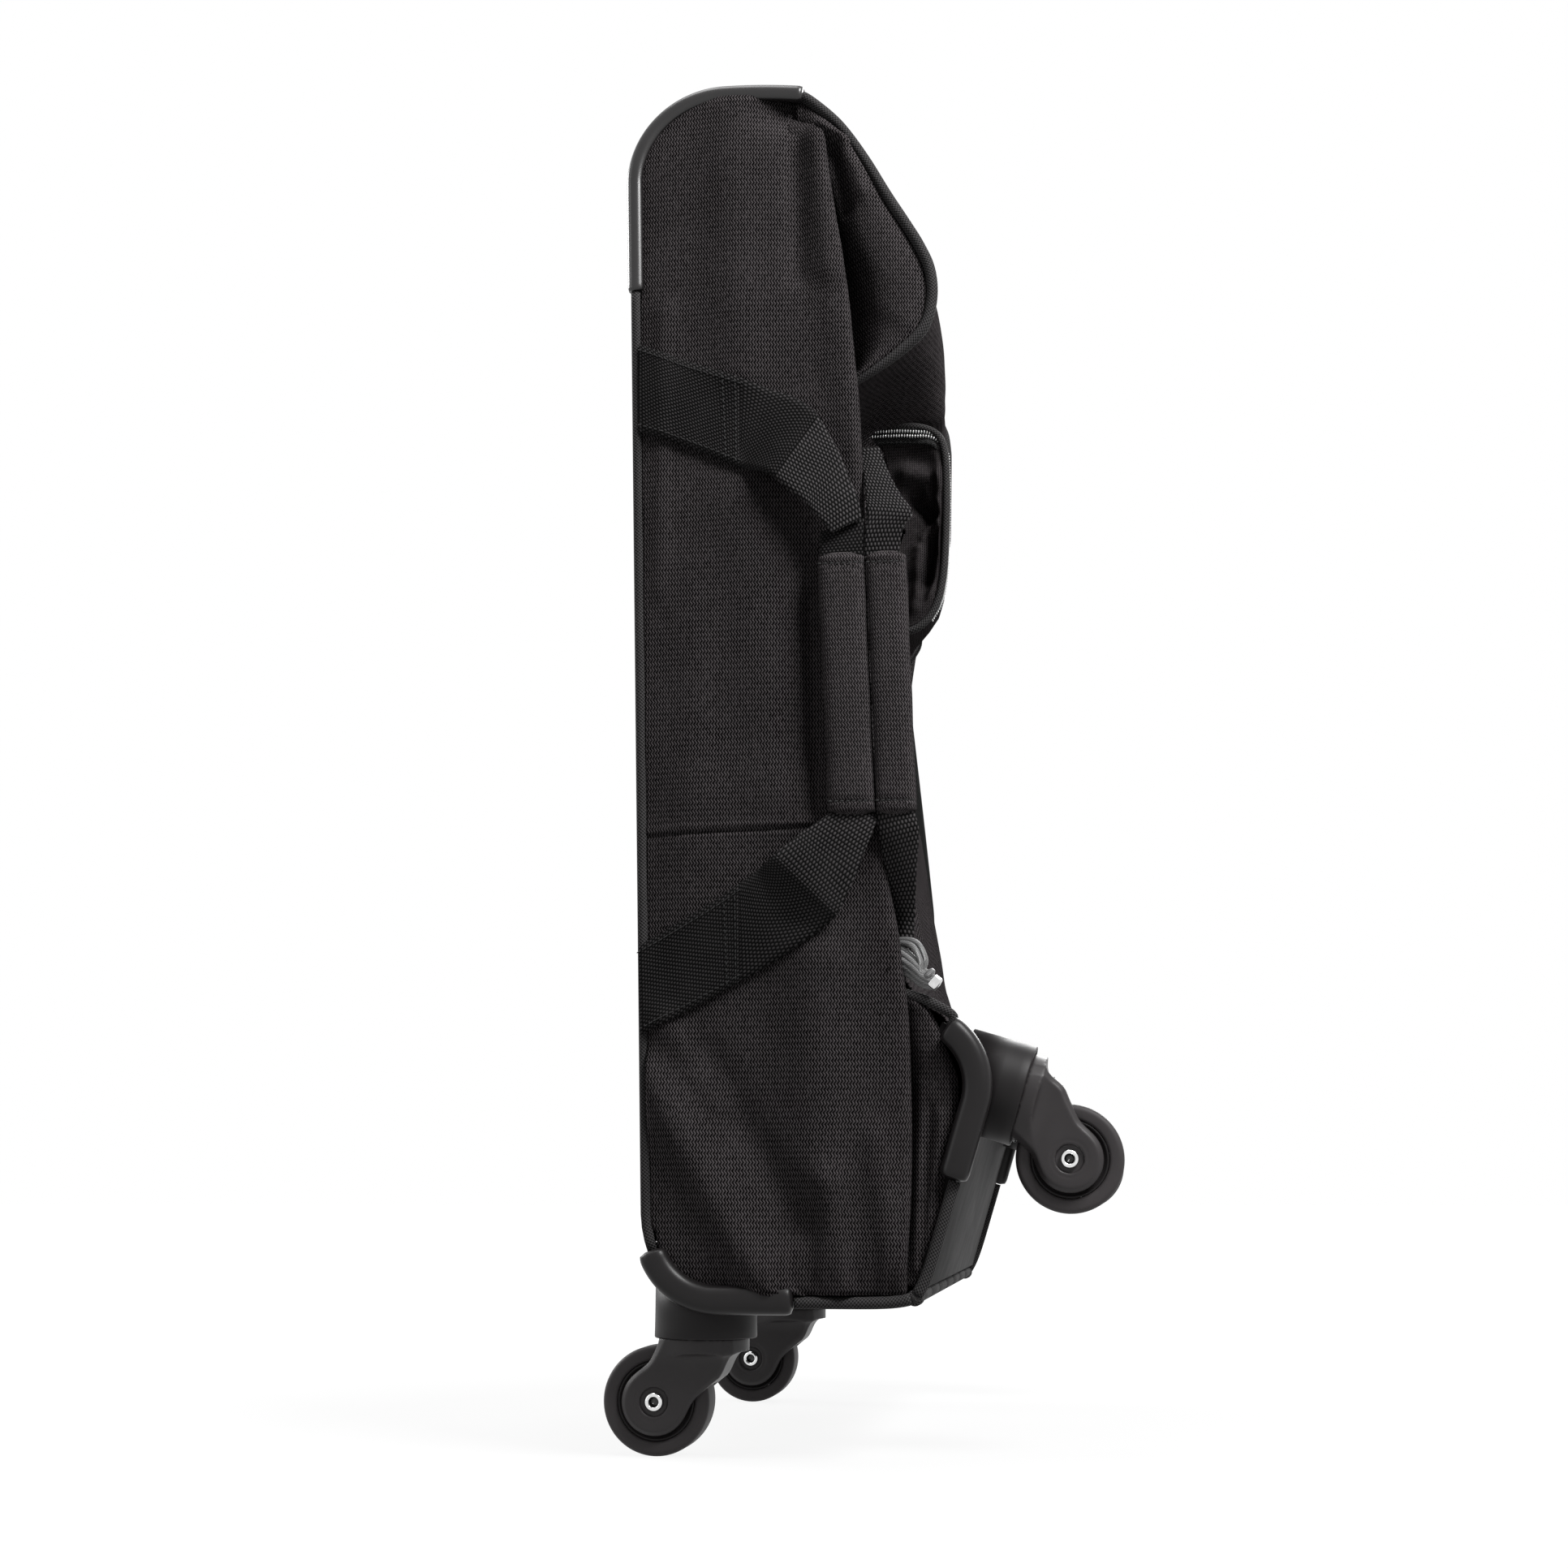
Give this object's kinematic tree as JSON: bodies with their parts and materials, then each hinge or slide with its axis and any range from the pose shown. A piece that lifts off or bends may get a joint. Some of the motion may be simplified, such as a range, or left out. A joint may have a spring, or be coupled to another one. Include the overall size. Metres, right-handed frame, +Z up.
{
  "type": "rolling bowling bag",
  "caption": "Soft rolling bowling bag folded flat, with a hinged two-part base, swivel casters, piped panels, webbing carry handles, a front pocket and a telescopic pull handle.",
  "frame": {"origin": "on the floor, midway between the bag's two sides and midway between the rearmost and foremost wheel edges", "axes": "+Z up, +X to the bag's front (the side the base folds up on), +Y to the side without carry handles"},
  "size_m": [0.2428, 0.3914, 0.66],
  "materials": {
    "fabric": "charcoal twill",
    "piping": "bias-cut twill over cord",
    "webbing": "black woven webbing",
    "moulded_trim": "satin moulded",
    "moulded_base": "matt moulded",
    "caster_plastic": "fine-textured matt",
    "tyre": "satin rubber",
    "chrome": "bright plated",
    "steel": "zinc plated",
    "tube": "satin anodised",
    "button": "matt moulded",
    "zip": "coil zip",
    "zip_metal": "dark plated",
    "zip_pull": "grey satin cord"
  },
  "bodies": {
    "bag": {"back_panel": "fabric", "top_panel": "fabric", "front_panel": "fabric", "side_panels": "fabric", "gussets": "fabric", "back_board": "moulded_base", "rear_piping": "piping", "front_piping": "piping", "base_piping_rear": "piping", "edge_guards": "moulded_trim", "corner_guards_rear": "moulded_trim", "rear_base": "moulded_base", "base_hinge_pin": "steel", "rear_sockets": "caster_plastic", "rear_swivel_pins": "steel", "pocket": "fabric", "pocket_zip": "zip", "main_zip": "zip", "strap_anchors": "webbing", "inner_anchors": "webbing", "handle_cup": "moulded_base", "tube_foot": "moulded_base", "outer_tubes": "tube"},
    "front_half": {"front_base": "moulded_base", "base_piping_front": "piping", "corner_guards_front": "moulded_trim", "front_sockets": "caster_plastic", "front_swivel_pins": "steel"},
    "rear_near_swivel": {"rear_near_fork": "caster_plastic", "rear_near_axle": "chrome"},
    "rear_near_wheel": {"rear_near_hub": "caster_plastic", "rear_near_tyre": "tyre"},
    "rear_far_swivel": {"rear_far_fork": "caster_plastic", "rear_far_axle": "chrome"},
    "rear_far_wheel": {"rear_far_hub": "caster_plastic", "rear_far_tyre": "tyre"},
    "front_near_swivel": {"front_near_fork": "caster_plastic", "front_near_axle": "chrome"},
    "front_near_wheel": {"front_near_hub": "caster_plastic", "front_near_tyre": "tyre"},
    "front_far_swivel": {"front_far_fork": "caster_plastic", "front_far_axle": "chrome"},
    "front_far_wheel": {"front_far_hub": "caster_plastic", "front_far_tyre": "tyre"},
    "pull_stage_1": {"middle_tubes": "tube"},
    "pull_stage_2": {"inner_tubes": "tube", "pull_grip": "moulded_base"},
    "pull_button": {"release_button": "button"},
    "rear_handle": {"rear_handle_strap": "webbing", "rear_handle_grip": "webbing"},
    "front_handle": {"front_handle_strap": "webbing", "front_handle_grip": "webbing"},
    "pocket_runner": {"pocket_slider": "zip_metal"},
    "main_runner": {"main_slider": "zip_metal", "zip_pull": "zip_pull"}
  },
  "joints": [
    {"name": "base_fold", "type": "hinge", "parent": "bag", "child": "front_half", "pos_m": [0.02633, 0, 0.074], "axis": [0, 1, 0], "range_deg": [0, 73]},
    {"name": "rear_near_swivel", "type": "hinge", "parent": "bag", "child": "rear_near_swivel", "pos_m": [-0.07467, -0.148, 0.074], "axis": [0, 0, 1], "continuous": true},
    {"name": "rear_near_wheel_spin", "type": "hinge", "parent": "rear_near_swivel", "child": "rear_near_wheel", "pos_m": [-0.09637, -0.148, 0.025], "axis": [0, 1, 0], "continuous": true},
    {"name": "rear_far_swivel", "type": "hinge", "parent": "bag", "child": "rear_far_swivel", "pos_m": [-0.07467, 0.148, 0.074], "axis": [0, 0, 1], "continuous": true},
    {"name": "rear_far_wheel_spin", "type": "hinge", "parent": "rear_far_swivel", "child": "rear_far_wheel", "pos_m": [-0.09637, 0.148, 0.025], "axis": [0, 1, 0], "continuous": true},
    {"name": "front_near_swivel", "type": "hinge", "parent": "front_half", "child": "front_near_swivel", "pos_m": [0.05586, -0.148, 0.17059], "axis": [-0.9563, 0, 0.2924], "continuous": true},
    {"name": "front_near_wheel_spin", "type": "hinge", "parent": "front_near_swivel", "child": "front_near_wheel", "pos_m": [0.09637, -0.148, 0.13551], "axis": [0, 1, 0], "continuous": true},
    {"name": "front_far_swivel", "type": "hinge", "parent": "front_half", "child": "front_far_swivel", "pos_m": [0.05586, 0.148, 0.17059], "axis": [-0.9563, 0, 0.2924], "continuous": true},
    {"name": "front_far_wheel_spin", "type": "hinge", "parent": "front_far_swivel", "child": "front_far_wheel", "pos_m": [0.09637, 0.148, 0.13551], "axis": [0, 1, 0], "continuous": true},
    {"name": "pull_lower", "type": "slide", "parent": "bag", "child": "pull_stage_1", "axis": [0, 0, 1], "range_m": [0, 0.19]},
    {"name": "pull_upper", "type": "slide", "parent": "pull_stage_1", "child": "pull_stage_2", "axis": [0, 0, 1], "range_m": [0, 0.19]},
    {"name": "pull_release", "type": "slide", "parent": "pull_stage_2", "child": "pull_button", "axis": [0, 0, -1], "range_m": [0, 0.003], "stiffness_N_per_m": 600},
    {"name": "rear_handle_swing", "type": "hinge", "parent": "bag", "child": "rear_handle", "pos_m": [-0.05407, -0.1873, 0.364], "axis": [0, 0, -1], "range_deg": [0, 80]},
    {"name": "front_handle_swing", "type": "hinge", "parent": "bag", "child": "front_handle", "pos_m": [0.01658, -0.17575, 0.363], "axis": [-0.075, 0, 0.9972], "range_deg": [0, 90]},
    {"name": "pocket_zip_slide", "type": "slide", "parent": "bag", "child": "pocket_runner", "axis": [0, 0, 1], "range_m": [0, 0.042]},
    {"name": "main_zip_slide", "type": "slide", "parent": "bag", "child": "main_runner", "axis": [0, 0, 1], "range_m": [0, 0.01]}
  ]
}
